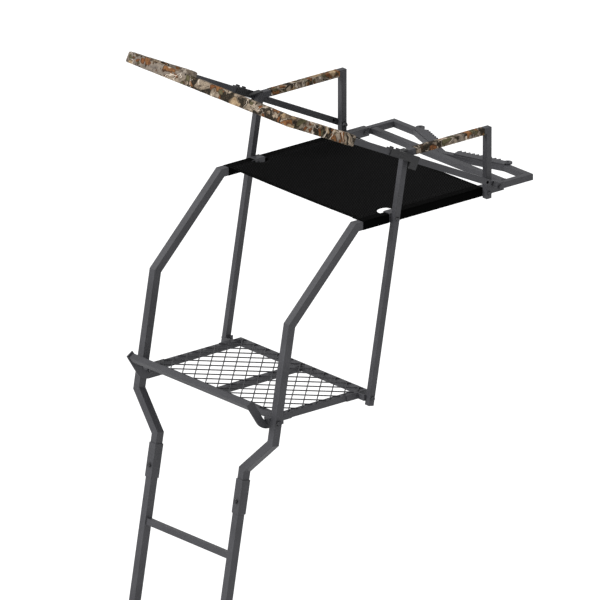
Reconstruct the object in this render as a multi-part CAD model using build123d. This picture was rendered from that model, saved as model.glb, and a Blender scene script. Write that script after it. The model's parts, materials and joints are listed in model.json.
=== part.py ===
from build123d import *
import math
import os

# Ladder tree stand: a leaning ladder carries a small mesh platform, a sling seat between
# two bent uprights, armrests, a padded shooting rail, a flip-up footrest and a toothed
# brace that bites the trunk behind the seat.
# Millimetres. +Z is up, +Y points to the tree, and X = 0 is the centre plane.
# The origin is on the ground, midway between the ladder's feet.

# Stock
MAIN = 25.4  # square tube of the uprights and the ladder's stiles
LIGHT = 19.0  # square tube of everything else
WALL = 1.5
PLATE = 4.0
CLEAR = 0.2  # gap between parts that are bolted or slid together
RUNNING = 0.05  # radial gap of a bore that turns on its bolt
BOLT_R = 4.0
PIVOT_R = 5.0

# The lean, and where the working parts stand on it
LEAN = 10.0
PLATFORM_HEIGHT = 2719.0  # platform frame's top above the ground
LINE_Y = -45.0  # where the leaning line crosses the platform's top level

# Uprights
STILE_X = 201.5
UPRIGHT_X = 310.4
LOWER_KINK_Z = -183.0
UPPER_KINK_Z = -76.0
MID_BEND_Z = 281.6
SEAT_Z = 533.4
SEAT_BEND_Y = 256.3
SEAT_RAIL_END_Y = 825.0
UPRIGHT_FOOT_Z = -264.5

# Ladder
SECTION_LENGTH = 1219.0
RUNGS_PER_SECTION = 4
RUNG_PITCH = 304.8
FIRST_RUNG_Z = -449.0
COUPLER_SIZE = 30.0
COUPLER_LENGTH = 106.0
FOOT_CAP_SIZE = 31.0
FOOT_CAP_LENGTH = 60.0

# Platform
PLATFORM_HALF = 293.0
PLATFORM_FRONT_Y = -30.0
PLATFORM_REAR_Y = 321.0
MESH_PITCH = 38.0
MESH_STRAND = 3.0
LUG_REACH = 62.0

# Rear posts and armrests
POST_X = 334.0
POST_Y_AT_PLATFORM = 299.0
POST_FOOT_Z = -32.0
ARMREST_Z = 730.6
ARMREST_REAR_Y = 749.6
ARMREST_POST_FOOT_Z = 515.6
COVER_SIZE = 21.0
COVER_FRONT_Y = 465.0
COVER_REAR_Y = 732.0
SEAT_BOLT_Y = 393.0

# Seat sling
SLEEVE_SIZE = 28.0
SLING_FRONT_Y = 278.6
SLING_REAR_Y = 742.5
SLING_THICK = 2.0
NOTCH_R = 30.0
SADDLE_WIDTH = 36.0
SADDLE_PLATE = 3.0

# Tree brace
BRACE_SOCKET_Y = 765.0
BRACE_BOLT_Y = 809.0
BRACE_CROSS_Y = 842.0
BRACE_REAR_Y = 932.0
VEE_BEND_X = 207.0
BLADE_START_X = 39.0
BLADE_LENGTH = 190.0
BLADE_THICK = 5.0
TOOTH_PITCH = 15.0
STRAP_HOLE_R = 5.0

# Shooting rail
ARM_X = 354.8
RAIL_PIVOT_Z = 567.0
RAIL_RISE = 25.7
ARM_LENGTH = 873.0
ARM_TAIL = 16.0
SPARE_HOLE = 26.0  # ahead of the pivot
PAD_SIZE = 34.0
LEFT_PAD_LENGTH = 232.0
RIGHT_PAD_LENGTH = 253.0
CLIP_PLATE = 3.0
CLIP_FRONT = 446.0  # the clip's places are measured along the arm from its pivot
CLIP_NECK = 378.0
CLIP_REAR = 326.0
CLIP_TAB_WIDTH = 30.0
CLIP_TAB_DROP = 20.0
CLIP_BOLTS = (438.0, 412.0)

# Footrest
FOOT_PIVOT_Y = -47.8
FOOT_PIVOT_Z = -11.0
FOOT_PLATE_TOP = (-122.9, 56.2)  # Y and Z of the hooked plates' upper end
FOOT_PLATE_SLOPE = 57.7
FOOT_PLATE_LOW_Z = -26.0
FOOT_PLATE_WIDTH = 25.0
FOOT_PLATE_THICK = 5.0
FOOT_PLATE_BEND = 42.0
FOOT_TAIL_Y = 8.0
FOOT_BAR_DOWN = 14.5  # bar's centre below the plates' upper end
FOOT_BAR_HALF = 274.5
BUSH_R = 12.5

SLOPE = math.tan(math.radians(LEAN))
STRETCH = 1 / math.cos(math.radians(LEAN))
HOME = Location((0, SLOPE * PLATFORM_HEIGHT - LINE_Y, PLATFORM_HEIGHT))
LEAN_PLANE = Plane(origin=(0, LINE_Y, 0), x_dir=(1, 0, 0), z_dir=(0, -1 / STRETCH, SLOPE / STRETCH))
SIDES = {"left": -1, "right": 1}  # as someone climbing the ladder sees them


def line_y(z):
    """Y of the leaning line at height z."""
    return LINE_Y + SLOPE * z


def post_y(z):
    """Y of a rear post's centre at height z."""
    return POST_Y_AT_PLATFORM + SLOPE * z


def side_plane(x):
    """The plane at x, drawn with Y to the right and Z up."""
    return Plane(origin=(x, 0, 0), x_dir=(0, 1, 0), z_dir=(1, 0, 0))


def flat_plane(z):
    """The level plane at z."""
    return Plane(origin=(0, 0, z))


def front_plane(y):
    """The plane at y, drawn with X to the right and Z up."""
    return Plane(origin=(0, y, 0), x_dir=(1, 0, 0), z_dir=(0, -1, 0))


def edges(points, half, extend=0.0, closed=False):
    """The two edges of a strip of width 2 * half along a path, with mitred corners."""
    path = [Vector(*point) for point in points]
    last = len(path) - 1
    left = []
    right = []
    for i, point in enumerate(path):
        before = (point - path[i - 1]).normalized() if i or closed else None
        after = (path[(i + 1) % len(path)] - point).normalized() if i < last or closed else before
        before = before or after
        across = Vector(-before.Y, before.X)
        mitre = (across + Vector(-after.Y, after.X)).normalized()
        reach = mitre * (half / mitre.dot(across))
        slide = Vector(0, 0)
        if i == 0 and not closed:
            slide = before * -extend
        if i == last and not closed:
            slide = after * extend
        left.append(point + slide + reach)
        right.append(point + slide - reach)
    return left, right


def outline(points):
    """A face inside a closed outline."""
    return make_face(Polyline(*points, close=True))


def bar(plane, points, thick, width, extend=0.0):
    """A solid bar along a path drawn on a plane."""
    left, right = edges(points, thick / 2, extend)
    return extrude(plane * outline(left + right[::-1]), width / 2, both=True)


def tube(plane, points, size, wall=WALL):
    """A hollow square tube along a path drawn on a plane."""
    inner = size - 2 * wall
    return bar(plane, points, size, size) - bar(plane, points, inner, inner, 1.0)


def mitred_tubes(plane, points, size, closed=False):
    """Straight square tubes, one for each run of a path, mitred where they meet."""
    outer = edges(points, size / 2, 0.0, closed)
    inner = edges(points, size / 2 - WALL, 1.0, closed)
    runs = len(points) if closed else len(points) - 1
    tubes = []
    for i in range(runs):
        j = (i + 1) % len(points)
        shell, core = [outline([a[i], a[j], b[j], b[i]]) for a, b in (outer, inner)]
        solid = extrude(plane * shell, size / 2, both=True)
        tubes.append(solid - extrude(plane * core, size / 2 - WALL, both=True))
    return tubes


def rod(start, end, radius):
    """A round rod from one point to another."""
    along = Vector(*end) - Vector(*start)
    plane = Plane(origin=start, z_dir=along.normalized())
    return extrude(plane * Circle(radius), along.length)


def hex_block(start, direction, across_corners, height):
    """A hexagonal prism standing on a point."""
    plane = Plane(origin=start, z_dir=direction)
    return extrude(plane * RegularPolygon(across_corners / 2, 6), height)


def bolt(head_face, direction, length, radius):
    """A hex bolt: the head sits on head_face and the shank runs along direction."""
    start = Vector(*head_face)
    along = Vector(*direction).normalized()
    shank = rod(start, start + along * length, radius)
    head = hex_block(start, along * -1, radius * 3.4, radius * 1.3)
    return shank + head


def nut(face, direction, radius):
    """A hex nut standing on a face, with the shank's hole through it."""
    start = Vector(*face)
    along = Vector(*direction).normalized()
    block = hex_block(start, along, radius * 3.4, radius * 1.5)
    return block - rod(start - along, start + along * radius * 3, radius + RUNNING / 5)


def cross_hole(y, z, radius=BOLT_R + CLEAR):
    """A hole right across the stand, along X."""
    return rod((-450, y, z), (450, y, z), radius)


def both(shape):
    """A piece for the right side, with its mirror image for the left side."""
    return [shape, mirror(shape, Plane.YZ)]


def save(name, pieces):
    """Write one node, moved to the ground origin."""
    group = pieces if isinstance(pieces, list) else [pieces]
    solids = [solid.moved(HOME) for piece in group for solid in piece.solids()]
    shape = solids[0] if len(solids) == 1 else Compound(children=solids)
    export_step(shape, f"parts/{name}.step")


def uprights():
    """Bent main tubes: from the ladder's width out to the seat's, then back as seat rails."""
    lean_path = [
        (STILE_X, UPRIGHT_FOOT_Z * STRETCH),
        (STILE_X, LOWER_KINK_Z * STRETCH),
        (UPRIGHT_X, UPPER_KINK_Z * STRETCH),
        (UPRIGHT_X, 100.0),
    ]
    side_path = [
        (line_y(100.0 / STRETCH), 100.0 / STRETCH),
        (line_y(MID_BEND_Z), MID_BEND_Z),
        (SEAT_BEND_Y, SEAT_Z),
        (SEAT_RAIL_END_Y, SEAT_Z),
    ]
    blank = tube(LEAN_PLANE, lean_path, MAIN) + tube(side_plane(UPRIGHT_X), side_path, MAIN)
    blank -= cross_hole(FOOT_PIVOT_Y, FOOT_PIVOT_Z, PIVOT_R + CLEAR)
    for y in (SEAT_BOLT_Y, ARMREST_REAR_Y, BRACE_BOLT_Y):
        blank -= cross_hole(y, SEAT_Z)
    for name, side in SIDES.items():
        save(f"{name}_upright", blank if side > 0 else mirror(blank, Plane.YZ))


def coupler_bolt_points():
    """Heights of the coupler bolts: just below the middle of each coupler."""
    top = UPRIGHT_FOOT_Z - 15.5
    return [top, top - SECTION_LENGTH / STRETCH]


def lean_point(x, z, forward):
    """A point beside the leaning line, forward of it by a distance square to the line."""
    return Vector(x, line_y(z) - forward / STRETCH, z + forward * SLOPE / STRETCH)


def ladder():
    """Two ladder sections, the sleeves that join them, their bolts and the feet."""
    forward = Vector(0, -1 / STRETCH, SLOPE / STRETCH)
    reach = COUPLER_SIZE / 2
    drills = [
        rod(lean_point(STILE_X, z, 40), lean_point(STILE_X, z, -40), BOLT_R + CLEAR)
        for z in coupler_bolt_points()
    ]
    top = UPRIGHT_FOOT_Z * STRETCH - 1.0
    ground = -PLATFORM_HEIGHT * STRETCH
    spans = {
        "upper": (top, top - SECTION_LENGTH),
        "lower": (top - SECTION_LENGTH - 1.0, ground + 6.0),
    }
    for section, (high, low) in spans.items():
        stile = tube(LEAN_PLANE, [(STILE_X, low), (STILE_X, high)], MAIN)
        for drill in drills:
            stile -= drill
        for name, side in SIDES.items():
            save(f"{section}_{name}_stile", stile if side > 0 else mirror(stile, Plane.YZ))
    inner = STILE_X - MAIN / 2
    for count, section in enumerate(spans):
        first = FIRST_RUNG_Z * STRETCH - count * RUNGS_PER_SECTION * RUNG_PITCH
        heights = [first - i * RUNG_PITCH for i in range(RUNGS_PER_SECTION)]
        save(f"{section}_rungs", [tube(LEAN_PLANE, [(-inner, v), (inner, v)], LIGHT) for v in heights])

    couplers = []
    for middle in (top, top - SECTION_LENGTH):
        ends = [(STILE_X, middle - COUPLER_LENGTH / 2), (STILE_X, middle + COUPLER_LENGTH / 2)]
        sleeve = bar(LEAN_PLANE, ends, COUPLER_SIZE, COUPLER_SIZE)
        sleeve -= bar(LEAN_PLANE, ends, MAIN + 2 * CLEAR, MAIN + 2 * CLEAR, 1.0)
        for drill in drills:
            sleeve -= drill
        couplers.append(sleeve)
    save("top_couplers", both(couplers[0]))
    save("lower_couplers", both(couplers[1]))

    bolts = []
    nuts = []
    for z in coupler_bolt_points():
        shank = COUPLER_SIZE + 10.0
        bolts += both(bolt(lean_point(STILE_X, z, reach + CLEAR), forward * -1, shank, BOLT_R))
        nuts += both(nut(lean_point(STILE_X, z, -reach - CLEAR), forward * -1, BOLT_R))
    save("coupler_bolts", bolts)
    save("coupler_nuts", nuts)

    cap_path = [(STILE_X, ground - 20.0), (STILE_X, ground + FOOT_CAP_LENGTH)]
    cap = bar(LEAN_PLANE, cap_path, FOOT_CAP_SIZE, FOOT_CAP_SIZE)
    cap -= bar(LEAN_PLANE, [(STILE_X, ground + 5.0), cap_path[1]], MAIN + 2 * CLEAR, MAIN + 2 * CLEAR, 1.0)
    cap = split(cap, flat_plane(-PLATFORM_HEIGHT), keep=Keep.TOP)
    save("foot_caps", both(cap))


def platform():
    """The welded platform frame, its mesh floor and the lugs that bolt it to the stand."""
    level = flat_plane(-LIGHT / 2)
    half = LIGHT / 2
    rail_x = PLATFORM_HALF - half
    front = PLATFORM_FRONT_Y + half
    rear = PLATFORM_REAR_Y - half
    corners = [(-rail_x, front), (rail_x, front), (rail_x, rear), (-rail_x, rear)]
    rails = mitred_tubes(level, corners, LIGHT, closed=True)
    for name, rail in zip(("front", "right", "rear", "left"), rails):
        save(f"platform_{name}_rail", rail)
    save("platform_middle_rail", tube(level, [(0, front + half), (0, rear - half)], LIGHT))
    save("platform_mesh", platform_mesh())

    lug_x = PLATFORM_HALF + PLATE / 2 + CLEAR
    lug = bar(side_plane(lug_x), [(-LUG_REACH, -half), (25.0, -half)], LIGHT, PLATE)
    lug -= cross_hole(FOOT_PIVOT_Y, FOOT_PIVOT_Z, PIVOT_R + CLEAR)
    save("platform_front_lugs", both(lug))
    post_face = POST_X - half
    web_y = 283.0
    bolt_y = post_y(-half)
    path = [
        (PLATFORM_HALF + PLATE / 2, web_y - 45.0),
        (PLATFORM_HALF + PLATE / 2, web_y),
        (post_face - PLATE / 2 - CLEAR, web_y),
        (post_face - PLATE / 2 - CLEAR, bolt_y + 16.0),
    ]
    rear_lug = bar(level, path, PLATE, LIGHT) - cross_hole(bolt_y, -half)
    save("platform_rear_lugs", both(rear_lug))
    head = (POST_X + half, bolt_y, -half)
    save("platform_bolts", both(bolt(head, (-1, 0, 0), LIGHT + PLATE + 12.0, BOLT_R)))
    nut_face = (post_face - PLATE - 2 * CLEAR, bolt_y, -half)
    save("platform_nuts", both(nut(nut_face, (-1, 0, 0), BOLT_R)))


def platform_mesh():
    """Flat diamond mesh: two sets of diagonal strands, trimmed to the frame."""
    half_x = PLATFORM_HALF - 6.0
    low_y = PLATFORM_FRONT_Y + 6.0
    high_y = PLATFORM_REAR_Y - 6.0
    middle = (low_y + high_y) / 2
    deep = (high_y - low_y) / 2
    sheet = Pos(0, middle) * Rectangle(2 * half_x, 2 * deep)
    spacing = MESH_PITCH * math.sqrt(2)
    count = int((half_x + deep) / spacing) + 1
    strands = []
    for i in range(-count, count + 1):
        for turn in (45, -45):
            strands.append(Pos(i * spacing, middle) * Rot(0, 0, turn) * Rectangle(4 * deep, MESH_STRAND))
    pattern = strands[0].fuse(*strands[1:]) & sheet
    mesh = extrude(flat_plane(0) * pattern, MESH_STRAND)
    return max(mesh.solids(), key=lambda solid: solid.volume)


def posts_and_armrests():
    """Leaning rear posts, the armrests on them and the short posts at the back."""
    half = LIGHT / 2
    path = [
        (post_y(POST_FOOT_Z), POST_FOOT_Z),
        (post_y(ARMREST_Z), ARMREST_Z),
        (ARMREST_REAR_Y, ARMREST_Z),
        (ARMREST_REAR_Y, ARMREST_POST_FOOT_Z),
    ]
    for name, side in SIDES.items():
        plane = side_plane(side * POST_X)
        post, armrest, short_post = mitred_tubes(plane, path, LIGHT)
        post -= cross_hole(SEAT_BOLT_Y, SEAT_Z)
        save(f"{name}_rear_post", post - cross_hole(post_y(-half), -half))
        save(f"{name}_armrest_tube", armrest)
        short_post -= cross_hole(ARMREST_REAR_Y, SEAT_Z)
        short_post -= cross_hole(ARMREST_REAR_Y, RAIL_PIVOT_Z, PIVOT_R + CLEAR)
        save(f"{name}_armrest_post", short_post)
        wrap = [(COVER_FRONT_Y, ARMREST_Z), (COVER_REAR_Y, ARMREST_Z)]
        cover = bar(plane, wrap, COVER_SIZE, COVER_SIZE) - bar(plane, wrap, LIGHT, LIGHT, 1.0)
        save(f"{name}_armrest_cover", cover)

    post_out = POST_X + half
    rail_in = UPRIGHT_X - MAIN / 2
    seat_head = (post_out, SEAT_BOLT_Y, SEAT_Z)
    rear_head = (post_out, ARMREST_REAR_Y, SEAT_Z)
    grip = post_out - rail_in
    bolts = both(bolt(seat_head, (-1, 0, 0), grip + 14.0, BOLT_R))
    bolts += both(bolt(rear_head, (-1, 0, 0), grip + 14.0, BOLT_R))
    save("seat_bolts", bolts)
    leg_face = rail_in - CLEAR - SADDLE_PLATE
    seat_nut = nut((leg_face, SEAT_BOLT_Y, SEAT_Z), (-1, 0, 0), BOLT_R)
    rear_nut = nut((rail_in, ARMREST_REAR_Y, SEAT_Z), (-1, 0, 0), BOLT_R)
    save("seat_nuts", both(seat_nut) + both(rear_nut))

    over = SEAT_Z + MAIN / 2 + CLEAR + SADDLE_PLATE / 2
    hang_x = rail_in - CLEAR - SADDLE_PLATE / 2
    profile = [(POST_X - half, over), (hang_x, over), (hang_x, SEAT_Z - 12.0)]
    for name, side in SIDES.items():
        saddle = bar(front_plane(SEAT_BOLT_Y + 5.0), profile, SADDLE_PLATE, SADDLE_WIDTH)
        saddle -= cross_hole(SEAT_BOLT_Y, SEAT_Z)
        save(f"{name}_saddle_bracket", saddle if side > 0 else mirror(saddle, Plane.YZ))


def seat():
    """The sling: a mesh panel with a sleeve down each side that slides over a seat rail."""
    middle = (SLING_FRONT_Y + SLING_REAR_Y) / 2
    length = SLING_REAR_Y - SLING_FRONT_Y
    ends = [(SLING_FRONT_Y, SEAT_Z), (SLING_REAR_Y, SEAT_Z)]
    plane = side_plane(UPRIGHT_X)
    bore = MAIN + CLEAR
    sleeve = bar(plane, ends, SLEEVE_SIZE, SLEEVE_SIZE) - bar(plane, ends, bore, bore, 1.0)
    over = SLEEVE_SIZE + 2.0
    sleeve -= Pos(UPRIGHT_X, SEAT_BOLT_Y + 5.0, SEAT_Z) * Box(over, SADDLE_WIDTH + 4.0, over)
    inner_x = UPRIGHT_X - SLEEVE_SIZE / 2
    top = SEAT_Z + SLEEVE_SIZE / 2
    panel = Pos(0, middle, top - SLING_THICK / 2) * Box(2 * inner_x, length, SLING_THICK)
    for side in SIDES.values():
        panel -= Pos(side * inner_x, SEAT_BOLT_Y, top) * Cylinder(NOTCH_R, 3 * SLING_THICK)
    save("seat_sling", panel + sleeve + mirror(sleeve, Plane.YZ))


def tree_brace():
    """The brace that plugs into the seat rails and holds the toothed blades at the trunk."""
    level = flat_plane(SEAT_Z)
    inner = UPRIGHT_X - LIGHT / 2
    apex_y = vee_apex_y()
    left_half = [(-UPRIGHT_X, BRACE_SOCKET_Y), (-UPRIGHT_X, BRACE_REAR_Y), (-VEE_BEND_X, BRACE_REAR_Y)]
    path = left_half + [(0, apex_y)] + [(-x, y) for x, y in reversed(left_half)]
    runs = mitred_tubes(level, path, LIGHT)
    drill = cross_hole(BRACE_BOLT_Y, SEAT_Z)
    save("brace_left_tube", runs[0] - drill)
    save("brace_vee_tube", runs[1].fuse(*runs[2:-1]))
    save("brace_right_tube", runs[-1] - drill)
    save("brace_cross_tube", tube(level, [(-inner, BRACE_CROSS_Y), (inner, BRACE_CROSS_Y)], LIGHT))

    head = (UPRIGHT_X + MAIN / 2, BRACE_BOLT_Y, SEAT_Z)
    save("brace_bolts", both(bolt(head, (-1, 0, 0), MAIN + 10.0, BOLT_R)))
    face = (UPRIGHT_X - MAIN / 2, BRACE_BOLT_Y, SEAT_Z)
    save("brace_nuts", both(nut(face, (-1, 0, 0), BOLT_R)))
    for name, side in SIDES.items():
        blade = tree_blade(apex_y)
        save(f"{name}_tree_blade", blade if side > 0 else mirror(blade, Plane.YZ))


def vee_apex_y():
    """Y of the vee's apex, where its corner just meets the cross tube."""
    near = BRACE_CROSS_Y + LIGHT / 2
    angle = math.atan2(BRACE_REAR_Y - near - LIGHT / 2, VEE_BEND_X)
    return near + LIGHT / 2 / math.cos(angle)


def tree_blade(apex_y):
    """A toothed plate along the right arm of the vee, with a holed loop at its outer end."""
    angle = math.degrees(math.atan2(BRACE_REAR_Y - apex_y, VEE_BEND_X))
    back = -8.0
    valley = 17.0
    tip = 27.0
    loop_r = 14.0
    teeth = int((BLADE_LENGTH - 2 * loop_r) / TOOTH_PITCH)
    points = [(0, back), (0, valley)]
    for i in range(teeth):
        points.append(((i + 0.5) * TOOTH_PITCH, tip))
        points.append(((i + 1) * TOOTH_PITCH, valley))
    points.append((BLADE_LENGTH - loop_r, valley))
    points.append((BLADE_LENGTH - loop_r, back))
    end = Pos(BLADE_LENGTH - loop_r, 12.0)
    profile = outline(points) + end * Circle(loop_r) - end * Circle(STRAP_HOLE_R)
    start_y = apex_y + BLADE_START_X * (BRACE_REAR_Y - apex_y) / VEE_BEND_X
    place = Pos(BLADE_START_X, start_y, SEAT_Z + LIGHT / 2) * Rot(0, 0, angle)
    return place * extrude(profile, BLADE_THICK)


def arm_plane(x):
    """The plane of an arm: X runs forward along the arm from the pivot, Y squarely up."""
    rise = math.radians(RAIL_RISE)
    along = (0, -math.cos(rise), math.sin(rise))
    return Plane(origin=(x, ARMREST_REAR_Y, RAIL_PIVOT_Z), x_dir=along, z_dir=(-1, 0, 0))


def shooting_rail():
    """The padded rail: two arms from the rear pivots, a front bar, and foam pads."""
    half = LIGHT / 2
    reach = PAD_SIZE / 2
    room = LIGHT + 0.2
    rise = math.radians(RAIL_RISE)
    down = (0, -math.sin(rise), -math.cos(rise))
    plane = Plane(origin=(0, ARMREST_REAR_Y, RAIL_PIVOT_Z), x_dir=(1, 0, 0), z_dir=down)
    path = [(-ARM_X, -ARM_TAIL), (-ARM_X, ARM_LENGTH), (ARM_X, ARM_LENGTH), (ARM_X, -ARM_TAIL)]
    drills = cross_hole(ARMREST_REAR_Y, RAIL_PIVOT_Z, PIVOT_R + RUNNING)
    drills += arm_plane(0).location * Pos(SPARE_HOLE, 0, 0) * Cylinder(PIVOT_R, 4 * ARM_X)
    for ahead in CLIP_BOLTS:
        for x in (-ARM_X, ARM_X):
            shaft = Pos(ahead, LIGHT / 2, x) * Rot(90, 0, 0) * Cylinder(BOLT_R + CLEAR, LIGHT / 2)
            drills += arm_plane(0).location * shaft
    left_arm, front_bar, right_arm = mitred_tubes(plane, path, LIGHT)
    save("rail_left_arm", left_arm - drills)
    save("rail_front_bar", front_bar)
    save("rail_right_arm", right_arm - drills)

    loop = bar(plane, path, room, room)
    span = [(-ARM_X - reach, ARM_LENGTH), (ARM_X + reach, ARM_LENGTH)]
    save("rail_front_pad", bar(plane, span, PAD_SIZE, PAD_SIZE) - loop)
    for name, length in (("left", LEFT_PAD_LENGTH), ("right", RIGHT_PAD_LENGTH)):
        x = SIDES[name] * ARM_X
        ends = [(x, ARM_LENGTH - reach - length), (x, ARM_LENGTH - reach)]
        save(f"rail_{name}_pad", bar(plane, ends, PAD_SIZE, PAD_SIZE) - loop)

    head = (ARM_X + half, ARMREST_REAR_Y, RAIL_PIVOT_Z)
    grip = ARM_X + half - (POST_X - half)
    save("rail_pivot_bolts", both(bolt((head[0] + 0.3, *head[1:]), (-1, 0, 0), grip + 12.0, PIVOT_R)))
    face = (POST_X - half, ARMREST_REAR_Y, RAIL_PIVOT_Z)
    save("rail_pivot_nuts", both(nut(face, (-1, 0, 0), PIVOT_R)))
    save("rail_clips", both(rail_clip()))
    bolts = []
    for ahead in CLIP_BOLTS:
        seat_point = arm_plane(ARM_X).from_local_coords((ahead, half + CLEAR + CLIP_PLATE, 0))
        bolts += both(bolt(seat_point, down, CLIP_PLATE + WALL + 4.0, BOLT_R))
    save("rail_clip_bolts", bolts)


def arm_block(x_low, x_high, ahead_low, ahead_high, low, high):
    """A block set out along the right arm: ahead of the pivot, and square to the arm."""
    size = (ahead_high - ahead_low, high - low, x_high - x_low)
    middle = Pos((ahead_high + ahead_low) / 2, (high + low) / 2, 0)
    return arm_plane((x_high + x_low) / 2).location * middle * Box(*size)


def rail_clip():
    """The right arm's clip: a channel over the arm, whose tongue rests on the armrest."""
    half = LIGHT / 2
    inner = ARM_X - half - CLEAR
    outer = ARM_X + half + CLEAR
    under = half + CLEAR
    top = under + CLIP_PLATE
    clip = arm_block(inner - CLIP_PLATE, outer + CLIP_PLATE, CLIP_NECK, CLIP_FRONT, under, top)
    clip += arm_block(inner - CLIP_PLATE, inner, CLIP_NECK, CLIP_FRONT, -half, top)
    clip += arm_block(outer, outer + CLIP_PLATE, CLIP_REAR, CLIP_FRONT, -half, top)
    tab_end = CLIP_REAR + CLIP_TAB_WIDTH
    clip += arm_block(outer, outer + CLIP_PLATE, CLIP_REAR, tab_end, -half - CLIP_TAB_DROP, top)
    for ahead in CLIP_BOLTS:
        hole = Pos(ahead, top, 0) * Rot(90, 0, 0) * Cylinder(BOLT_R + CLEAR, LIGHT)
        clip -= arm_plane(ARM_X).location * hole
    rest_z = ARMREST_Z + half + 0.3
    tongue_low = Vector(POST_X - half, 386.0, rest_z)
    tongue_high = Vector(inner, 434.0, rest_z + CLIP_PLATE)
    size = tongue_high - tongue_low
    tongue = Pos(*((tongue_low + tongue_high) / 2)) * Box(size.X, size.Y, size.Z)
    return clip + tongue


def footrest():
    """The flip-up footrest: a bar between two hooked plates that turn on bushes."""
    slope = math.radians(FOOT_PLATE_SLOPE)
    down = Vector(math.cos(slope), -math.sin(slope))
    top = Vector(*FOOT_PLATE_TOP)
    knee = top + down * ((top.Y - FOOT_PLATE_LOW_Z) / math.sin(slope))
    tail = Vector(FOOT_TAIL_Y, FOOT_PLATE_LOW_Z)
    centre_line = FilletPolyline(top, knee, tail, radius=FOOT_PLATE_BEND)
    plate_x = FOOT_BAR_HALF + FOOT_PLATE_THICK / 2
    flat = side_plane(plate_x)
    plate = extrude(flat * trace(centre_line, FOOT_PLATE_WIDTH), FOOT_PLATE_THICK / 2, both=True)
    stop_z = -LIGHT - 0.3
    relief = Box(3 * FOOT_PLATE_THICK, 60.0, 30.0, align=(Align.CENTER, Align.MIN, Align.MIN))
    plate -= Pos(plate_x, PLATFORM_FRONT_Y - 3.0, stop_z) * relief
    bush_low = FOOT_BAR_HALF - 2.5
    bush_high = PLATFORM_HALF
    pivot = (FOOT_PIVOT_Y, FOOT_PIVOT_Z)
    barrel = rod((bush_low, *pivot), (bush_high, *pivot), BUSH_R)
    save("footrest_left_plate", mirror(plate - barrel, Plane.YZ))
    save("footrest_right_plate", plate - barrel)
    save("footrest_bushes", both(barrel - cross_hole(*pivot, PIVOT_R + RUNNING)))

    centre = top + down * FOOT_BAR_DOWN
    turned = Plane(origin=(0, centre.X, centre.Y), x_dir=(1, 0, 0), z_dir=(0, down.X, down.Y))
    save("footrest_bar", tube(turned, [(-FOOT_BAR_HALF, 0), (FOOT_BAR_HALF, 0)], LIGHT))
    head = (UPRIGHT_X + MAIN / 2, *pivot)
    save("footrest_pivot_bolts", both(bolt(head, (-1, 0, 0), head[0] - bush_low + 12.0, PIVOT_R)))
    face = (bush_low - 0.5, *pivot)
    save("footrest_pivot_nuts", both(nut(face, (-1, 0, 0), PIVOT_R)))


os.makedirs("parts", exist_ok=True)
uprights()
ladder()
platform()
posts_and_armrests()
seat()
tree_brace()
shooting_rail()
footrest()
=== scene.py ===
import json
import math

import bmesh
import bpy
from mathutils import Matrix, Vector, noise


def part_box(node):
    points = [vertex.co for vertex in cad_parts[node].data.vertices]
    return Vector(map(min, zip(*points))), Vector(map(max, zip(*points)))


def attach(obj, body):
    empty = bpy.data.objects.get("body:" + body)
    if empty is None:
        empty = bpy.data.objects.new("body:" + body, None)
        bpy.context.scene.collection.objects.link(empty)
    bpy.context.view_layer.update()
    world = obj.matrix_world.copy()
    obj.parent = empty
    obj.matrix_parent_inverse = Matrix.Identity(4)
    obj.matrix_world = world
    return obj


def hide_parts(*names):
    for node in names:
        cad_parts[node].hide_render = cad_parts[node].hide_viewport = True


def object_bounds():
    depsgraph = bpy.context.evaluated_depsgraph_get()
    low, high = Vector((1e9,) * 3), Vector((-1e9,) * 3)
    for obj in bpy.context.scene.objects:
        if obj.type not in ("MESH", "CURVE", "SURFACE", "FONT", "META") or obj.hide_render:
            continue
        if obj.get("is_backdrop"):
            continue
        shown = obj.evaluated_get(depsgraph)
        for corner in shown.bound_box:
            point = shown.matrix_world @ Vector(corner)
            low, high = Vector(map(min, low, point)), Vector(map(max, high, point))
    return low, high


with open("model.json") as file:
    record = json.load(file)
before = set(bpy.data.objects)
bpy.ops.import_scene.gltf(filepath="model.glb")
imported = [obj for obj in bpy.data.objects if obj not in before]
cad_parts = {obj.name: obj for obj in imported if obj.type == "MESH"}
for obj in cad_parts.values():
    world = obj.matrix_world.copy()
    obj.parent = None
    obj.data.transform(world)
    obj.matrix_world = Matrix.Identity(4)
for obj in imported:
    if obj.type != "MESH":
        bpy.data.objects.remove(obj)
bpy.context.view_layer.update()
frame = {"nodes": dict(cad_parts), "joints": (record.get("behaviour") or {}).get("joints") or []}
nodes = frame["nodes"]

# ---- Camera
# A long lens from the stand's front right, a little above the seat, so that the ladder's
# lean and the flat platform both read.
TARGET = Vector((0, 0.8298, 2.9225))
AZIMUTH = math.radians(50.04)
ELEVATION = math.radians(20.10)
DISTANCE = 75.0
FIELD = 1.7826  # width of what the camera sees at the target

toward = Vector((
    math.sin(AZIMUTH) * math.cos(ELEVATION),
    -math.cos(AZIMUTH) * math.cos(ELEVATION),
    math.sin(ELEVATION),
))
lens = bpy.data.cameras.new("camera")
lens.sensor_width = 18.0
lens.lens = lens.sensor_width * DISTANCE / FIELD
lens.clip_start = 1.0
lens.clip_end = 3000.0
camera = bpy.data.objects.new("camera", lens)
camera.location = TARGET + toward * DISTANCE
camera.rotation_euler = (-toward).to_track_quat("-Z", "Y").to_euler()
bpy.context.scene.collection.objects.link(camera)
bpy.context.scene.camera = camera


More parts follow.
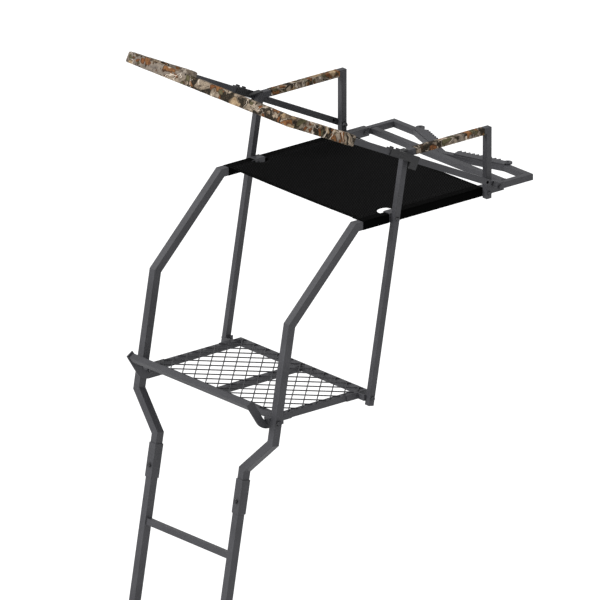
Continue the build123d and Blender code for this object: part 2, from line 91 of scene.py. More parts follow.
# ---- Steel tubes and plates
# Square steel tube and flat steel, welded, then powder coated in a dark hammered grey.
# The coat is thin on the corners, and handling leaves it a little duller in patches.
class Tone:
    """A socket of a material's tree. Arithmetic on it adds Math nodes."""

    def __init__(self, tree, socket=None):
        self.tree = tree
        self.socket = socket

    def node(self, kind, settings=None, inputs=None, out=0):
        made = self.tree.nodes.new(kind)
        for key, value in (settings or {}).items():
            setattr(made, key, value)
        for key, value in (inputs or {}).items():
            if isinstance(value, Tone):
                self.tree.links.new(value.socket, made.inputs[key])
            else:
                made.inputs[key].default_value = value
        return Tone(self.tree, made.outputs[out])

    def math(self, operation, other=0.0):
        return self.node("ShaderNodeMath", {"operation": operation}, {0: self, 1: other})

    def __add__(self, other):
        return self.math("ADD", other)

    def __radd__(self, other):
        return self.math("ADD", other)

    def __mul__(self, other):
        return self.math("MULTIPLY", other)

    def __rmul__(self, other):
        return self.math("MULTIPLY", other)

    def __sub__(self, other):
        return self.math("SUBTRACT", other)

    def __rsub__(self, other):
        return self.node("ShaderNodeMath", {"operation": "SUBTRACT"}, {0: other, 1: self})

    def ramp(self, low, high):
        """0 below low and 1 above high, with a soft step between."""
        inputs = {"Value": self, "From Min": low, "From Max": high}
        return self.node("ShaderNodeMapRange", {"interpolation_type": "SMOOTHSTEP"}, inputs)

    def blend(self, off, on):
        """Colour off where this is 0, and colour on where it is 1."""
        return self.node("ShaderNodeMix", {"data_type": "RGBA"}, {0: self, 6: off, 7: on}, 2)

    def noise(self, scale, detail=2.0, roughness=0.5, distortion=0.0):
        inputs = {"Vector": self, "Scale": scale, "Detail": detail, "Roughness": roughness}
        return self.node("ShaderNodeTexNoise", None, inputs | {"Distortion": distortion})

    def scaled(self, x, y, z, turn=0.0):
        inputs = {"Vector": self, "Scale": (x, y, z), "Rotation": (0, 0, turn)}
        return self.node("ShaderNodeMapping", None, inputs)

    def part(self, axis):
        return self.node("ShaderNodeSeparateXYZ", None, {0: self}, axis)

    def bump(self, strength, distance, normal=None):
        inputs = {"Height": self, "Strength": strength, "Distance": distance}
        if normal:
            inputs["Normal"] = normal
        return self.node("ShaderNodeBump", None, inputs)


def socket_of(shader, key):
    return shader.inputs[key.replace("_", " ").title().replace("Ior", "IOR")]


def material(name, **constants):
    """A new material: itself, its place on the object, and the function that feeds its shader."""
    made = bpy.data.materials.new(name)
    made.use_nodes = True
    tree = made.node_tree
    shader = next(n for n in tree.nodes if n.type == "BSDF_PRINCIPLED")
    for key, value in constants.items():
        socket_of(shader, key).default_value = value

    def feed(**values):
        for key, value in values.items():
            tree.links.new(value.socket, socket_of(shader, key))

    return made, Tone(tree).node("ShaderNodeTexCoord", out="Object"), feed


def dress(coat, names):
    """Puts a material on the frame's own nodes."""
    for name in names:
        nodes[name].data.materials.clear()
        nodes[name].data.materials.append(coat)


def corners_of(place, radius, samples):
    """The surface's normal with its corners rounded, and how far that leans from the true one."""
    rounded = place.node("ShaderNodeBevel", {"samples": samples}, {"Radius": radius})
    true = place.node("ShaderNodeNewGeometry", out="True Normal")
    normals = {0: rounded, 1: true}
    facing = place.node("ShaderNodeVectorMath", {"operation": "DOT_PRODUCT"}, normals, "Value")
    return rounded, 1.0 - facing


def powder_coat(name, dark, light, worn, corner):
    """Hammered powder coat, with corners rounded by a bevel and rubbed pale."""
    coat, place, feed = material(name, specular_ior_level=0.25)
    rounded, lean = corners_of(place, corner, 6)
    edge = lean.ramp(0.02, 0.2)
    patches = place.noise(9.0, 4.0, 0.6)
    speckle = place.noise(420.0, 2.0, 0.6)
    rub = edge * place.noise(55.0, 4.0, 0.7).ramp(0.48, 0.66)
    colour = patches.ramp(0.3, 0.7).blend(dark, light)
    colour = (speckle.ramp(0.45, 0.75) * 0.4).blend(colour, worn)
    colour = (rub * 0.55).blend(colour, worn)
    hammered = place.noise(260.0, 1.0, 0.4) + place.noise(95.0, 1.0, 0.4) * 0.6
    feed(
        base_color=colour,
        roughness=0.44 + patches * 0.16 - rub * 0.12,
        normal=hammered.bump(0.35, 0.0006, rounded),
    )
    return coat


steel = powder_coat(
    "hammered_grey_coat", (0.031, 0.031, 0.035, 1), (0.044, 0.044, 0.049, 1), (0.105, 0.105, 0.113, 1), 0.0022
)
SOFT_OR_FIXED = ("bolts", "nuts", "sling", "pad", "cover", "caps", "mesh")
dress(steel, [n for n in nodes if not any(word in n for word in SOFT_OR_FIXED)])

# ---- Rail clips
# Folded steel channels over the rail's arms, each with a tongue that rests on an armrest. They
# are coated in a plain satin black.
satin_black = powder_coat(
    "satin_black_coat", (0.010, 0.010, 0.011, 1), (0.018, 0.018, 0.019, 1), (0.07, 0.07, 0.072, 1), 0.0010
)
dress(satin_black, ["rail_clips"])


# ---- Welds
# Beads of weld run round the tube ends where they meet other tubes. They are small overlapping
# ripples of steel, under the same powder coat as the tubes.
BEAD = 0.0017
LIGHT_HALF = 0.0095  # half the light tube's side


def new_piece(name, shape, coat, body, smooth=True):
    """A finished mesh object that rides on a body."""
    mesh = bpy.data.meshes.new(name)
    shape.to_mesh(mesh)
    shape.free()
    mesh.materials.append(coat)
    for face in mesh.polygons:
        face.use_smooth = smooth
    made = bpy.data.objects.new(name, mesh)
    bpy.context.scene.collection.objects.link(made)
    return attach(made, body)


def frame_at(centre, along, side):
    """A placement whose Z runs along one direction and whose X is near another."""
    z = Vector(along).normalized()
    y = z.cross(Vector(side)).normalized()
    x = y.cross(z)
    return Matrix.Translation(centre) @ Matrix((x, y, z)).transposed().to_4x4()


def weld_ring(shape, place, half):
    """Overlapping beads round a square tube's end, in the placement's XY plane."""
    steps = int(2 * half / (BEAD * 1.1))
    for turn in range(4):
        for i in range(steps):
            spot = Vector((half, -half + 2 * half * (i + 0.5) / steps, 0))
            wobble = 1.0 + 0.25 * noise.noise(spot * 900 + Vector((turn, 0, 0)) * 7)
            bead = Matrix.Rotation(turn * math.pi / 2, 4, "Z") @ Matrix.Translation(spot)
            bead = place @ bead @ Matrix.Diagonal((1.0, 0.8, 1.0, 1.0))
            bmesh.ops.create_icosphere(shape, subdivisions=1, radius=BEAD * wobble, matrix=bead)


def islands(name):
    """The separate solids of a node, each as a list of its points."""
    copy = bmesh.new()
    copy.from_mesh(nodes[name].data)
    bmesh.ops.remove_doubles(copy, verts=copy.verts, dist=1e-6)
    found = []
    left = set(copy.verts)
    while left:
        group = {left.pop()}
        edge = list(group)
        while edge:
            near = {other for e in edge.pop().link_edges for other in e.verts} - group
            group |= near
            left -= near
            edge += near
        found.append([v.co.copy() for v in group])
    copy.free()
    return sorted(found, key=lambda points: tuple(round(c, 4) for c in points_box(points)[0]))


def points_box(points):
    low = Vector([min(p[i] for p in points) for i in range(3)])
    high = Vector([max(p[i] for p in points) for i in range(3)])
    return low, high


LEAN = math.radians(10)  # of the ladder, from upright
lean_up = Vector((0, math.sin(LEAN), math.cos(LEAN)))
welds = bmesh.new()
for name in ("upper_rungs", "lower_rungs"):
    for rung in islands(name):
        low, high = points_box(rung)
        middle = (low + high) / 2
        for x in (low.x + BEAD * 0.4, high.x - BEAD * 0.4):
            weld_ring(welds, frame_at((x, middle.y, middle.z), (1, 0, 0), lean_up), LIGHT_HALF)
low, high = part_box("platform_middle_rail")
for y in (low.y + BEAD * 0.4, high.y - BEAD * 0.4):
    weld_ring(welds, frame_at((0, y, (low.z + high.z) / 2), (0, 1, 0), (1, 0, 0)), LIGHT_HALF)
low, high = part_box("brace_cross_tube")
for x in (low.x + BEAD * 0.4, high.x - BEAD * 0.4):
    middle = (low + high) / 2
    weld_ring(welds, frame_at((x, middle.y, middle.z), (1, 0, 0), (0, 1, 0)), LIGHT_HALF)
new_piece("frame_welds", welds, steel, "stand")

welds = bmesh.new()
low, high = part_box("footrest_bar")
PLATE_SLOPE = math.radians(57.7)  # of the footrest's plates, from level
for x in (low.x + BEAD * 0.4, high.x - BEAD * 0.4):
    middle = (low + high) / 2
    across = (0, math.cos(PLATE_SLOPE), -math.sin(PLATE_SLOPE))
    weld_ring(welds, frame_at((x, middle.y, middle.z), (1, 0, 0), across), LIGHT_HALF)
new_piece("footrest_welds", welds, steel, "footrest")

# ---- Platform floor
# Flattened steel mesh welded over the platform's tubes. Boots polish the tops of its
# strands, so it is a little smoother and paler than the frame.
mesh_coat = powder_coat(
    "platform_mesh_coat", (0.022, 0.022, 0.025, 1), (0.032, 0.032, 0.036, 1), (0.12, 0.12, 0.13, 1), 0.0008
)
dress(mesh_coat, ["platform_mesh"])

# ---- Bolts and nuts
# Hex bolts with a washer face under the head and rolled threads at the end, and lock nuts
# with a rounded collar. Black oxide steel, bright on the corners where a spanner has been.
black, place, feed = material("black_oxide", metallic=0.7)
rounded, lean = corners_of(place, 0.0005, 4)
bright = lean.ramp(0.01, 0.15) * place.noise(300.0, 3.0, 0.7).ramp(0.4, 0.6)
cloud = place.noise(120.0, 3.0, 0.6)
oxide = cloud.ramp(0.3, 0.7).blend((0.025, 0.025, 0.028, 1), (0.05, 0.05, 0.055, 1))
feed(
    base_color=bright.blend(oxide, (0.3, 0.3, 0.3, 1)),
    roughness=0.38 + cloud * 0.2,
    normal=place.noise(700.0, 2.0).bump(0.2, 0.0003, rounded),
)


def turn(shape, profile, place, steps=20):
    """A turned solid: a profile of radius and height, spun once round the placement's Z."""
    path = [shape.verts.new((r, 0, h)) for r, h in profile]
    lines = [shape.edges.new(pair) for pair in zip(path, path[1:])]
    made = bmesh.ops.spin(
        shape, geom=path + lines, cent=(0, 0, 0), axis=(0, 0, 1), angle=2 * math.pi, steps=steps,
        use_merge=True,
    )
    corners = {v for e in lines for f in e.link_faces for v in f.verts} | set(path)
    corners |= {v for v in made["geom_last"] if isinstance(v, bmesh.types.BMVert)}
    spun = set(corners)
    grow = list(corners)
    while grow:
        near = {other for e in grow.pop().link_edges for other in e.verts} - spun
        spun |= near
        grow += near
    bmesh.ops.transform(shape, matrix=place, verts=list(spun))


def hex_head(shape, place, across, height):
    """A hexagonal block from Z 0 up, with its top corners cut back."""
    made = bmesh.ops.create_cone(
        shape, cap_ends=True, segments=6, radius1=across / 2, radius2=across / 2, depth=height,
        matrix=place @ Matrix.Translation((0, 0, height / 2)),
    )
    top = sorted(made["verts"], key=lambda v: (place.inverted() @ v.co).z)[6:]
    bmesh.ops.bevel(
        shape, geom=top, offset=across * 0.09, affect="VERTICES", segments=2, profile=0.5, material=-1
    )


def threads(start, end, radius):
    """The profile of a threaded shank between two heights."""
    count = int(abs(end - start) / 0.00125)
    profile = []
    for i in range(count):
        profile.append((radius * 0.88, start + (end - start) * i / count))
        profile.append((radius, start + (end - start) * (i + 0.5) / count))
    return profile


def axis_line(points, along):
    """A round or hex solid's centre line: its placement, and how far it runs along it."""
    turned = frame_at((0, 0, 0), along, (0, 0, 1) if abs(along[2]) < 0.5 else (1, 0, 0))
    low, high = points_box([turned.inverted() @ p for p in points])
    return turned @ Matrix.Translation(((low.x + high.x) / 2, (low.y + high.y) / 2, 0)), low.z, high.z


WASHER = 0.0006


def fit_fasteners(shape, name, body):
    """Puts a finished shape in place of a node's bolts or nuts."""
    bmesh.ops.remove_doubles(shape, verts=shape.verts, dist=1e-6)
    bmesh.ops.recalc_face_normals(shape, faces=shape.faces)
    made = new_piece(f"detailed_{name}", shape, black, body, smooth=False)
    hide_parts(name)


def detail_bolts(name, radius, outward, body):
    """Detailed bolts in place of a node's, with heads where outward points."""
    shape = bmesh.new()
    for points in islands(name):
        side = 1 if sum(p.x for p in points) > 0 else -1
        line, low, high = axis_line(points, outward(side))
        head = radius * 1.3
        shoulder = high - head
        top = shoulder + WASHER
        hex_head(shape, line @ Matrix.Translation((0, 0, top)), radius * 3.4, head - WASHER)
        rim = radius * 1.72
        turn(shape, [(0, shoulder), (rim, shoulder), (rim, top), (0, top)], line)
        plain = shoulder - (shoulder - low) * 0.35
        shank = [(0, shoulder), (radius * 0.98, shoulder), (radius * 0.98, plain)]
        shank += threads(plain, low + 0.001, radius) + [(radius * 0.8, low), (0, low)]
        turn(shape, shank, line, 16)
    fit_fasteners(shape, name, body)


def detail_nuts(name, radius, outward, body):
    """Lock nuts in place of a node's, with the collar on the end outward points to."""
    shape = bmesh.new()
    for points in islands(name):
        side = 1 if sum(p.x for p in points) > 0 else -1
        line, low, high = axis_line(points, outward(side))
        collar = low + (high - low) * 0.72
        bore = radius * 1.01
        hex_head(shape, line @ Matrix.Translation((0, 0, low)), radius * 3.4, collar - low)
        ring = [(bore, collar - 0.0005), (radius * 1.45, collar - 0.0005), (radius * 1.45, high - 0.0008)]
        ring += [(radius * 1.3, high), (bore, high), (bore, collar - 0.0005)]
        turn(shape, ring, line, 24)
    fit_fasteners(shape, name, body)


RISE = math.radians(25.7)  # of the rail's arms, from level
arm_ahead = Vector((0, -math.cos(RISE), math.sin(RISE)))
arm_up = Vector((0, math.sin(RISE), math.cos(RISE)))
lean_front = Vector((0, -math.cos(LEAN), math.sin(LEAN)))
for name in ("platform_bolts", "seat_bolts", "brace_bolts"):
    detail_bolts(name, 0.004, lambda side: (side, 0, 0), "stand")
detail_bolts("coupler_bolts", 0.004, lambda side: lean_front, "stand")
detail_bolts("rail_pivot_bolts", 0.005, lambda side: (side, 0, 0), "stand")
detail_bolts("footrest_pivot_bolts", 0.005, lambda side: (side, 0, 0), "stand")
detail_bolts("rail_clip_bolts", 0.004, lambda side: arm_up, "shooting_rail")
for name in ("platform_nuts", "seat_nuts", "brace_nuts"):
    detail_nuts(name, 0.004, lambda side: (-side, 0, 0), "stand")
detail_nuts("coupler_nuts", 0.004, lambda side: -lean_front, "stand")
detail_nuts("rail_pivot_nuts", 0.005, lambda side: (-side, 0, 0), "stand")
detail_nuts("footrest_pivot_nuts", 0.005, lambda side: (-side, 0, 0), "stand")

# ---- Feet
# Black moulded rubber caps pushed over the ladder's lower ends. Mud and scuffs dull them
# towards the ground, and fine ribs run round them.
rubber, place, feed = material("foot_rubber", specular_ior_level=0.3)
height = place.part(2)
dust = (1.0 - height.ramp(0.0, 0.05)) * place.noise(60.0, 5.0, 0.7).ramp(0.4, 0.65)
ribs = (height * 900.0).math("SINE")
feed(
    base_color=(dust * 0.7).blend((0.018, 0.018, 0.018, 1), (0.12, 0.10, 0.08, 1)),
    roughness=0.72 + place.noise(150.0) * 0.2,
    normal=(ribs + place.noise(500.0)).bump(0.5, 0.0006),
)
dress(rubber, ["foot_caps"])

# ---- Seat sling
# One sheet of black coated mesh fabric. Each side wraps round a seat rail and is sewn back to
# its own underside, and the front and rear edges are hemmed. Two scoops clear the saddles.
CLOTH = 0.0012
SLEEVE_HALF = 0.014  # half the side of the sleeves over the seat rails
FLAP = 0.024
HEM = 0.016
NOTCH_R = 0.030  # radius of the scoops


def rounded_path(points, radius, steps=3):
    """A path with its inner corners rounded."""
    path = [Vector(points[0])]
    for before, corner, after in zip(points, points[1:], points[2:]):
        corner = Vector(corner)
        start = corner + (Vector(before) - corner).normalized() * radius
        end = corner + (Vector(after) - corner).normalized() * radius
        for i in range(steps + 1):
            t = i / steps
            path.append(start.lerp(corner, t).lerp(corner.lerp(end, t), t))
    return path + [Vector(points[-1])]


def divided(path, pitch):
    """The same path with points no further apart than pitch."""
    fine = [path[0]]
    for start, end in zip(path, path[1:]):
        count = max(1, math.ceil((end - start).length / pitch))
        fine += [start.lerp(end, (i + 1) / count) for i in range(count)]
    return fine


def woven(shape, section, rows, at):
    """A grid of cloth: one column for each point of a section, and one line for each row."""
    made = bmesh.ops.create_grid(shape, x_segments=len(section) - 1, y_segments=len(rows) - 1, size=0.5)
    for v in made["verts"]:
        i = round((v.co.x + 0.5) * (len(section) - 1))
        j = round((v.co.y + 0.5) * (len(rows) - 1))
        v.co = at(section[i], rows[j])


def thicken(piece, thickness):
    """Gives a sheet of cloth its thickness, half on each side."""
    cloth = piece.modifiers.new("cloth", "SOLIDIFY")
    cloth.thickness = thickness
    cloth.offset = 0.0


sling_low, sling_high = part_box("seat_sling")
saddle_low, saddle_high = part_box("right_saddle_bracket")
rail_x = sling_high.x - SLEEVE_HALF
rail_z = sling_high.z - SLEEVE_HALF
reach = SLEEVE_HALF - CLOTH / 2
inner_x = rail_x - SLEEVE_HALF
under = reach - CLOTH * 1.35
corners = [
    (0, reach), (rail_x + reach, reach), (rail_x + reach, -reach), (rail_x - reach, -reach),
    (rail_x - reach, under), (rail_x - reach - FLAP, under),
]
right_half = divided(rounded_path(corners, 0.0028), 0.0072)
section = [Vector((-p.x, p.y)) for p in reversed(right_half[1:])] + right_half
gap_low = saddle_low.y - 0.002
gap_high = saddle_high.y + 0.002
notch_y = (gap_low + gap_high) / 2 - 0.005
rows = []
for start, end, count in (
    (sling_low.y, gap_low, 14), (gap_low, gap_high, 8), (gap_high, sling_high.y, 46),
):
    rows += [start + (end - start) * i / count for i in range(count)]
rows.append(sling_high.y)


def on_sling(point, y):
    span = max(0.0, 1.0 - (point.x / inner_x) ** 2)
    deep = (y - sling_low.y) / (sling_high.y - sling_low.y)
    sag = 0.0035 * span * (0.6 + 0.4 * math.sin(math.pi * deep))
    ripple = 0.0004 * span * noise.noise(Vector((point.x * 14, y * 14, 0)))
    return Vector((point.x, y, rail_z + point.y - sag + ripple))


sling = bmesh.new()
woven(sling, section, rows, on_sling)
gone = []
for face in sling.faces:
    spot = face.calc_center_median()
    if abs(spot.x) > inner_x - 0.0005 and gap_low < spot.y < gap_high:
        gone.append(face)
    elif abs(spot.x) < inner_x and math.hypot(abs(spot.x) - inner_x, spot.y - notch_y) < NOTCH_R:
        gone.append(face)
bmesh.ops.delete(sling, geom=gone, context="FACES")
for v in sling.verts:
    away = Vector((abs(v.co.x) - inner_x, v.co.y - notch_y))
    on_edge = any(len(e.link_faces) == 1 for e in v.link_edges)
    if on_edge and abs(v.co.x) < inner_x - 0.001 and abs(away.length - NOTCH_R) < 0.006:
        away = away.normalized() * NOTCH_R
        v.co.x = math.copysign(inner_x + away.x, v.co.x)
        v.co.y = notch_y + away.y
bmesh.ops.recalc_face_normals(sling, faces=sling.faces)

fabric, place, feed = material("black_sling_mesh", specular_ior_level=0.02)
turned = place.scaled(1.0, 1.0, 1.0, math.radians(-50))
across = turned.part(0) * (1 / 0.0078)
along = turned.part(1) * (1 / 0.032)
first = (across * math.pi).math("SINE").math("ABSOLUTE") * (along * math.pi).math("SINE").math("ABSOLUTE")
other = (across * math.pi).math("COSINE").math("ABSOLUTE") * (along * math.pi).math("COSINE").math("ABSOLUTE")
lattice = first.math("MAXIMUM", other).ramp(0.5, 0.9)
side_x = place.part(0).math("ABSOLUTE")
depth = place.part(1)
band = side_x.ramp(inner_x - 0.006, inner_x - 0.004)
band = band.math("MAXIMUM", 1.0 - depth.ramp(sling_low.y + HEM, sling_low.y + HEM + 0.002))
band = band.math("MAXIMUM", depth.ramp(sling_high.y - HEM - 0.002, sling_high.y - HEM))
threads_fine = (place.part(0) * 3500.0).math("SINE") * (depth * 3500.0).math("SINE")
uneven = place.noise(16.0, 4.0, 0.6)
plain = uneven.ramp(0.3, 0.7).blend((0.0004, 0.0004, 0.0004, 1), (0.0009, 0.0009, 0.0009, 1))
mesh_colour = (lattice * (0.5 + uneven)).blend((0.0006, 0.0006, 0.0006, 1), (0.0075, 0.0075, 0.0078, 1))
feed(
    base_color=band.blend(mesh_colour, plain),
    roughness=0.72 + uneven * 0.16,
    normal=(lattice * (1.0 - band) + threads_fine * 0.2).bump(0.6, 0.0005),
)
seat = new_piece("sling", sling, fabric, "stand")
thicken(seat, CLOTH)
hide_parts("seat_sling")


def stitch_row(shape, start, end, normal, pitch=0.0052, length=0.0036, width=0.0009):
    """A row of thread stitches lying on a surface."""
    line = Vector(end) - Vector(start)
    count = max(1, int(line.length / pitch))
    for i in range(count):
        spot = Vector(start) + line * ((i + 0.5) / count)
        place = frame_at(spot, normal, line) @ Matrix.Diagonal((length, width, width * 0.8, 1.0))
        bmesh.ops.create_icosphere(shape, subdivisions=1, radius=0.5, matrix=place)


thread, place, feed = material("black_thread", specular_ior_level=0.4)
feed(
    base_color=place.noise(800.0).ramp(0.3, 0.7).blend((0.006, 0.006, 0.006, 1), (0.016, 0.016, 0.016, 1)),
    roughness=0.6 + place.noise(300.0) * 0.2,
    normal=place.noise(1500.0).bump(0.5, 0.0003),
)
rows_sewn = bmesh.new()
top = CLOTH / 2 + 0.0002
for y in (sling_low.y + 0.003, sling_low.y + HEM - 0.002, sling_high.y - HEM + 0.002, sling_high.y - 0.003):
    marks = [inner_x * (i / 12 - 1) for i in range(25)]
    for a, b in zip(marks, marks[1:]):
        ends = [on_sling(Vector((x, reach + top)), y) for x in (a, b)]
        stitch_row(rows_sewn, *ends, (0, 0, 1))
for side in (-1, 1):
    for x in (inner_x - 0.003, inner_x - 0.018):
        clear = math.sqrt(NOTCH_R ** 2 - (inner_x - x) ** 2) + 0.003
        for a, b in ((sling_low.y + HEM, notch_y - clear), (notch_y + clear, sling_high.y - HEM)):
            ends = [on_sling(Vector((side * x, reach + top)), y) for y in (a, b)]
            stitch_row(rows_sewn, *ends, (0, 0, 1))
stitches = new_piece("sling_stitches", rows_sewn, thread, "stand")

# ---- Camouflage pads of the shooting rail
# Closed-cell foam strips of square section in a printed cloth sleeve, pulled tight round the
# rail's front bar and the front of each arm and sewn shut along the underside.
camo, place, feed = material("leaf_and_bark_cloth", specular_ior_level=0.15)


def strayed(place, scale, amount):
    """The same place, pushed about by a noise."""
    drift = place.node("ShaderNodeTexNoise", None, {"Vector": place, "Scale": scale, "Detail": 3.0}, 1)
    centred = place.node("ShaderNodeVectorMath", {"operation": "SUBTRACT"}, {0: drift, 1: (0.5, 0.5, 0.5)})
    push = place.node("ShaderNodeVectorMath", {"operation": "SCALE"}, {0: centred, "Scale": amount})
    return place.node("ShaderNodeVectorMath", {"operation": "ADD"}, {0: place, 1: push})


shifted = strayed(strayed(place, 12.0, 0.10), 75.0, 0.014)
streaks = shifted.scaled(24.0, 75.0, 75.0).noise(1.0, 8.0, 0.8)
bark = streaks.ramp(0.36, 0.62).blend((0.075, 0.052, 0.036, 1), (0.36, 0.29, 0.215, 1))
grey = place.noise(11.0, 3.0, 0.6).ramp(0.45, 0.6)
bark = (grey * 0.6).blend(bark, (0.155, 0.135, 0.12, 1))
cracks = shifted.noise(90.0, 4.0, 0.7).ramp(0.56, 0.62)
colour = (cracks * 0.8).blend(bark, (0.022, 0.014, 0.009, 1))
gaps = shifted.noise(19.0, 3.0, 0.6).ramp(0.525, 0.555)
litter = place.noise(160.0, 3.0, 0.7).ramp(0.5, 0.68)
colour = gaps.blend(colour, (litter * 0.6).blend((0.012, 0.009, 0.005, 1), (0.11, 0.075, 0.045, 1)))
leaf_sets = (
    (19.0, 0.0, (0.235, 0.105, 0.036, 1), (0.085, 0.030, 0.010, 1), 0.38, 0.50),
    (24.0, 3.7, (0.115, 0.100, 0.048, 1), (0.038, 0.034, 0.016, 1), 0.36, 0.55),
    (15.0, 8.1, (0.42, 0.31, 0.19, 1), (0.17, 0.105, 0.055, 1), 0.34, 0.58),
    (30.0, 5.3, (0.20, 0.075, 0.022, 1), (0.060, 0.020, 0.008, 1), 0.34, 0.60),
)
for scale, offset, pale, deep, size, rare in leaf_sets:
    aside = {0: shifted, 1: (offset, offset, offset)}
    moved = shifted.node("ShaderNodeVectorMath", {"operation": "ADD"}, aside)
    stretched = moved.scaled(1.0, 1.9, 1.4, offset)
    cell = {"Vector": stretched, "Scale": scale}
    away = stretched.node("ShaderNodeTexVoronoi", None, cell, "Distance")
    pick = stretched.node("ShaderNodeTexVoronoi", None, cell, "Color").part(0)
    body = (1.0 - away.ramp(size * 1.10, size * 1.18)) * pick.ramp(rare, rare + 0.02)
    veins = ((away * 34.0).math("SINE") * 0.5 + 0.5).ramp(0.55, 0.95)
    leaf = (veins * 0.4 + shifted.noise(140.0, 3.0, 0.7).ramp(0.4, 0.65) * 0.6).blend(pale, deep)
    rim = away.ramp(size * 0.75, size * 1.08)
    colour = body.blend(colour, (rim * 0.8).blend(leaf, (0.022, 0.013, 0.008, 1)))
for scale, width, where in ((11.0, 0.010, 13.0), (17.0, 0.007, 9.0)):
    line = (shifted.noise(scale, 1.0, 0.4) - 0.5).math("ABSOLUTE")
    twig = (1.0 - line.ramp(width * 0.6, width)) * place.noise(where, 1.0).ramp(0.5, 0.54)
    colour = (twig * 0.9).blend(colour, (0.58, 0.50, 0.41, 1))
warp, weft, rise = [(place.part(axis) * 2600.0).math("SINE") for axis in range(3)]
cloth_weave = warp + weft * rise
feed(
    base_color=(place.noise(300.0, 2.0).ramp(0.4, 0.7) * 0.18).blend(colour, (0.05, 0.04, 0.03, 1)),
    roughness=0.78 + place.noise(40.0) * 0.12,
    normal=(cloth_weave * 0.25 + place.noise(60.0, 3.0) * 1.2).bump(0.45, 0.0007),
)

brown_thread, place, feed = material("brown_thread", specular_ior_level=0.3)
feed(
    base_color=place.noise(700.0).ramp(0.3, 0.7).blend((0.03, 0.022, 0.014, 1), (0.07, 0.055, 0.038, 1)),
    roughness=0.7 + place.noise(300.0) * 0.15,
    normal=place.noise(1500.0).bump(0.5, 0.0003),
)

PAD = 0.034  # side of the pads' section
PAD_CORNER = 0.0035
ARM_X = 0.3548  # of the arms' centre lines
ARM_LENGTH = 0.873  # from the pivot to the front bar's centre
pivot = Vector(next(j for j in frame["joints"] if j["name"] == "shooting_rail_pivot")["pos_m"])
seam_rows = bmesh.new()


def foam_pad(name, node, start, end, up):
    """A crowned foam strip between two points, in its cloth sleeve."""
    line = end - start
    length = line.length
    place = frame_at((start + end) / 2, up, line)
    shape = bmesh.new()
    bmesh.ops.create_cube(shape, size=1.0, matrix=Matrix.Diagonal((length, PAD, PAD, 1.0)))
    bmesh.ops.bevel(
        shape, geom=shape.edges[:], offset=PAD_CORNER, affect="EDGES", segments=3, profile=0.5, material=-1
    )
    slices = int(length / 0.008)
    cuts = [(Vector((1, 0, 0)), length * (i / slices - 0.5)) for i in range(1, slices)]
    for axis in (Vector((0, 1, 0)), Vector((0, 0, 1))):
        cuts += [(axis, PAD * k) for k in (-0.26, -0.09, 0.09, 0.26)]
    for axis, distance in cuts:
        geometry = shape.verts[:] + shape.edges[:] + shape.faces[:]
        bmesh.ops.bisect_plane(shape, geom=geometry, plane_co=axis * distance, plane_no=axis, dist=1e-5)
    half = PAD / 2
    for v in shape.verts:
        y, z = v.co.y / half, v.co.z / half
        lump = noise.noise(Vector((v.co.x * 28 + start.x, y * 1.3, z * 1.3)))
        fine = noise.noise(Vector((v.co.x * 150, y * 4, z * 4 + start.y)))
        pull = 0.0009 * lump + 0.0003 * fine
        v.co.y += y * (0.0006 * (1 - z * z) + pull - 0.0004)
        v.co.z += z * (0.0006 * (1 - y * y) + pull - 0.0004)
        nearness = max(0.0, 1 - (length / 2 - abs(v.co.x)) / 0.004)
        v.co.x += math.copysign(0.0010 * nearness * (1 - y * y) * (1 - z * z), v.co.x)
    bmesh.ops.transform(shape, matrix=place, verts=shape.verts)
    bmesh.ops.recalc_face_normals(shape, faces=shape.faces)
    made = new_piece(name, shape, camo, "shooting_rail")
    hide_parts(node)
    for y in (-0.0025, 0.0025):
        ends = [place @ Vector((x, y, -half - 0.0003)) for x in (-length / 2 + 0.004, length / 2 - 0.004)]
        stitch_row(seam_rows, *ends, -up)
    for x in (-length / 2 + 0.005, length / 2 - 0.005):
        for y, z in ((0, 1), (0, -1), (1, 0), (-1, 0)):
            sideways = Vector((0, -z, y)) * (half - 0.004)
            outward = Vector((0, y, z)) * (half + 0.0003)
            ends = [place @ (Vector((x, 0, 0)) + outward + sideways * s) for s in (-1, 1)]
            stitch_row(seam_rows, *ends, place.to_3x3() @ Vector((0, y, z)))


front = pivot + arm_ahead * ARM_LENGTH
corner_x = Vector((ARM_X + PAD / 2, 0, 0))
foam_pad("front_bar_pad", "rail_front_pad", front - corner_x, front + corner_x, arm_up)
for side, name, length in ((-1, "left", 0.232), (1, "right", 0.253)):
    near = Vector((side * ARM_X, 0, 0)) + pivot + arm_ahead * (ARM_LENGTH - PAD / 2)
    foam_pad(f"{name}_arm_pad", f"rail_{name}_pad", near - arm_ahead * length, near, arm_up)
new_piece("pad_stitches", seam_rows, brown_thread, "shooting_rail")

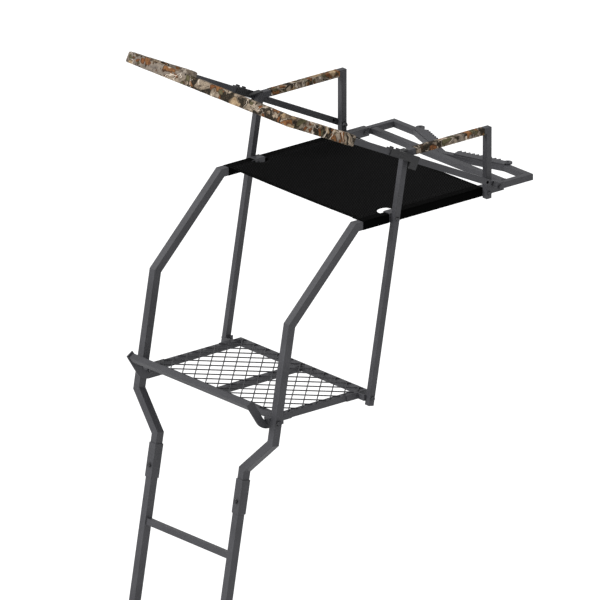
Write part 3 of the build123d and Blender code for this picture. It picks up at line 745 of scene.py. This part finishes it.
# ---- Armrest wraps
# The same printed cloth, glued tight round each armrest tube. Its long edge laps over itself
# along the underside, and its ends are cut square.
WRAP = 0.0007
LAP = 0.010
for side, name in ((-1, "left"), (1, "right")):
    low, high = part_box(f"{name}_armrest_cover")
    middle = (low + high) / 2
    half = (high.x - low.x) / 2 - WRAP / 2 - 0.0001
    out = half + WRAP * 1.1
    corners = [
        (-LAP / 2, -half), (half, -half), (half, half), (-half, half), (-half, -half),
        (-LAP / 2 - 0.003, -half), (-LAP / 2, -out), (LAP / 2, -out),
    ]
    path = divided(rounded_path(corners, 0.0014), 0.004)
    count = int((high.y - low.y) / 0.004)
    lines = [low.y + (high.y - low.y) * i / count for i in range(count + 1)]

    def on_tube(point, y):
        crease = 0.00018 * noise.noise(Vector((point.x * 160, y * 60, point.y * 160 + side)))
        return Vector((middle.x + point.x * (1 + crease / half), y, middle.z + point.y * (1 + crease / half)))

    wrap = bmesh.new()
    woven(wrap, path, lines, on_tube)
    bmesh.ops.recalc_face_normals(wrap, faces=wrap.faces)
    made = new_piece(f"{name}_armrest_wrap", wrap, camo, "stand")
    thicken(made, WRAP)
    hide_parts(f"{name}_armrest_cover")

# ---- Floor and light
# A plain pale floor, broad soft daylight all round, and a soft key light from the front left
# and above.
ground, place, feed = material("pale_floor", specular_ior_level=0.0)
feed(
    base_color=place.noise(0.3).blend((0.93, 0.93, 0.93, 1), (0.95, 0.95, 0.95, 1)),
    roughness=0.9 + place.noise(0.5) * 0.05,
)
plane = bmesh.new()
bmesh.ops.create_grid(plane, x_segments=1, y_segments=1, size=400.0)
mesh = bpy.data.meshes.new("floor")
plane.to_mesh(mesh)
plane.free()
mesh.materials.append(ground)
floor = bpy.data.objects.new("floor", mesh)
floor.location.z = -0.0005
bpy.context.scene.collection.objects.link(floor)
floor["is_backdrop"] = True

sky = bpy.data.worlds.new("studio")
sky.use_nodes = True
sky.node_tree.nodes["Background"].inputs["Color"].default_value = (1.0, 1.0, 1.0, 1)
sky.node_tree.nodes["Background"].inputs["Strength"].default_value = 0.75
bpy.context.scene.world = sky
key = bpy.data.lights.new("key", "SUN")
key.energy = 2.6
key.angle = math.radians(25)
key_lamp = bpy.data.objects.new("key", key)
key_lamp.rotation_euler = Vector((0.50, 0.70, -0.75)).to_track_quat("-Z", "Y").to_euler()
bpy.context.scene.collection.objects.link(key_lamp)
bpy.context.scene.view_settings.view_transform = "Standard"

low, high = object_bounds()
